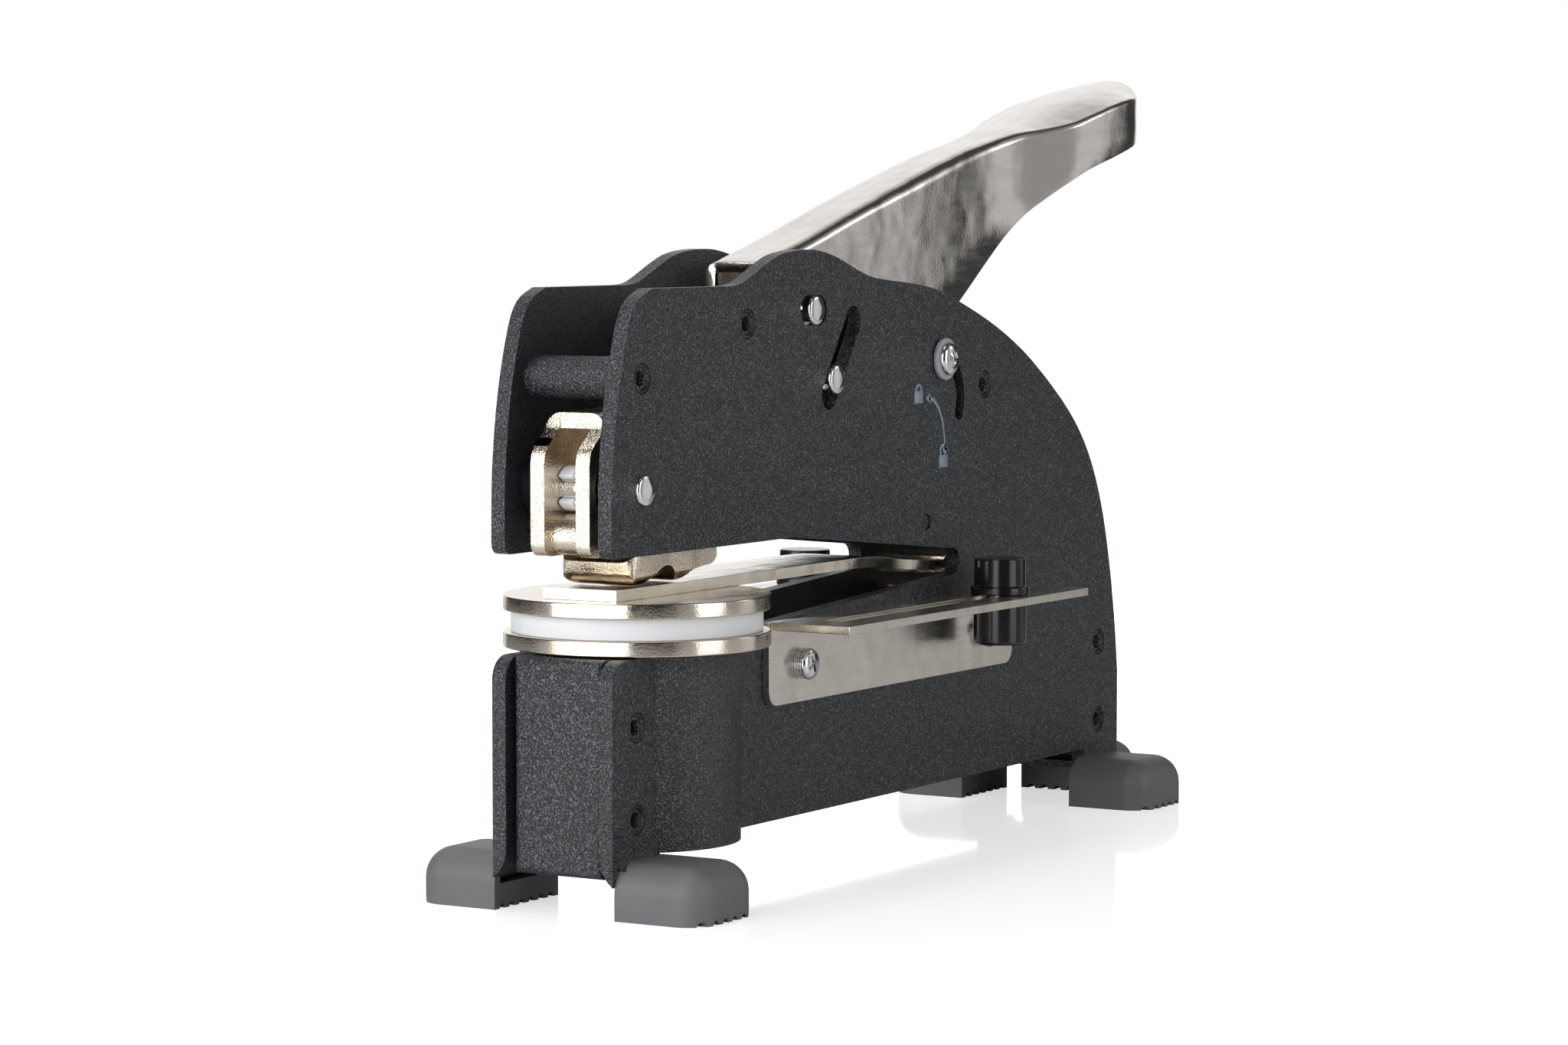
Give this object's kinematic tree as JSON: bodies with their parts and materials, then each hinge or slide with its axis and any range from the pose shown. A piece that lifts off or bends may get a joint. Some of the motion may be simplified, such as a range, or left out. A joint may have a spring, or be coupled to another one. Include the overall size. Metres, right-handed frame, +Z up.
{
  "type": "desk seal embosser",
  "caption": "Hand-press seal embosser with black side plates, a plated lever handle, a leaf-spring arm, round dies, paper guides and rubber feet.",
  "frame": {"origin": "middle of the footprint, on the surface that the embosser stands on", "axes": "+Z up, +Y to the grip's end of the handle, +X across the plates to the side with the lock stud"},
  "size_m": [0.0644, 0.2274, 0.1594],
  "materials": {
    "black_coat": "matte, fine wrinkle texture",
    "nickel_plate": "polished nickel",
    "satin_nickel": "satin nickel",
    "bright_chrome": "polished",
    "white_nylon": "satin",
    "black_plastic": "gloss",
    "grey_rubber": "satin"
  },
  "bodies": {
    "frame": {"side_plate_right": "black_coat", "side_plate_left": "black_coat", "front_cover": "black_coat", "rear_cover": "black_coat", "jaw_spacer": "black_coat", "top_spacer": "black_coat", "rear_spacer": "black_coat", "front_base_spacers": "black_coat", "rear_base_spacers": "black_coat", "anvil_post": "black_coat", "cross_pin": "black_coat", "lower_die": "nickel_plate", "lower_die_screw": "nickel_plate", "arm_anchor_pin": "nickel_plate", "pivot_pin": "nickel_plate", "guide_bracket_right": "nickel_plate", "guide_bracket_left": "nickel_plate", "guide_screws": "nickel_plate", "guide_washers": "nickel_plate", "die_blank": "white_nylon", "foot_front_right": "grey_rubber", "foot_front_left": "grey_rubber", "foot_rear_right": "grey_rubber", "foot_rear_left": "grey_rubber", "foot_rear_middle": "grey_rubber", "lock_pivot": "nickel_plate", "pivot_washers": "black_plastic"},
    "slider": {"upper_pin": "bright_chrome"},
    "handle": {"handle": "satin_nickel", "lower_pin": "bright_chrome"},
    "rocker": {"rocker": "nickel_plate", "shoe_pin": "nickel_plate", "pivot_bushes": "white_nylon"},
    "shoe": {"press_shoe": "nickel_plate"},
    "die_arm": {"die_arm": "nickel_plate", "upper_die": "nickel_plate", "upper_die_screws": "nickel_plate"},
    "lock": {"lock_lever": "nickel_plate", "lock_stud": "bright_chrome", "lock_washer": "white_nylon"},
    "knob_right": {"knob_cap_right": "black_plastic", "knob_stud_right": "nickel_plate", "knob_nut_right": "black_plastic"},
    "knob_left": {"knob_cap_left": "black_plastic", "knob_stud_left": "nickel_plate", "knob_nut_left": "black_plastic"}
  },
  "joints": [
    {"name": "slider_travel", "type": "slide", "parent": "frame", "child": "slider", "axis": [0, 1, 0], "range_m": [-0.00241, 0]},
    {"name": "handle_swing", "type": "hinge", "parent": "slider", "child": "handle", "pos_m": [0, -0.04065, 0.1107], "axis": [1, 0, 0], "range_deg": [0, 35]},
    {"name": "rocker_swing", "type": "hinge", "parent": "frame", "child": "rocker", "pos_m": [0, -0.1027, 0.0787], "axis": [1, 0, 0], "range_deg": [0, 4.3]},
    {"name": "shoe_tilt", "type": "hinge", "parent": "rocker", "child": "shoe", "pos_m": [0, -0.08435, 0.071], "axis": [-1, 0, 0], "range_deg": [0, 5]},
    {"name": "arm_lift", "type": "hinge", "parent": "frame", "child": "die_arm", "pos_m": [0, 0.02515, 0.0546], "axis": [-1, 0, 0], "range_deg": [0, 0.71]},
    {"name": "lock_turn", "type": "hinge", "parent": "frame", "child": "lock", "pos_m": [0, 0.01145, 0.0916], "axis": [-1, 0, 0], "range_deg": [0, 110]},
    {"name": "knob_slide_right", "type": "slide", "parent": "frame", "child": "knob_right", "axis": [0, 1, 0], "range_m": [-0.067, 0.012]},
    {"name": "knob_slide_left", "type": "slide", "parent": "frame", "child": "knob_left", "axis": [0, 1, 0], "range_m": [-0.067, 0.012]}
  ],
  "couplings": [
    {"joint": "slider_travel", "follows": "handle_swing", "m_per_rad": -0.00393},
    {"joint": "rocker_swing", "follows": "handle_swing", "ratio": 0.1217},
    {"joint": "shoe_tilt", "follows": "handle_swing", "ratio": 0.1417},
    {"joint": "arm_lift", "follows": "handle_swing", "ratio": 0.02}
  ]
}
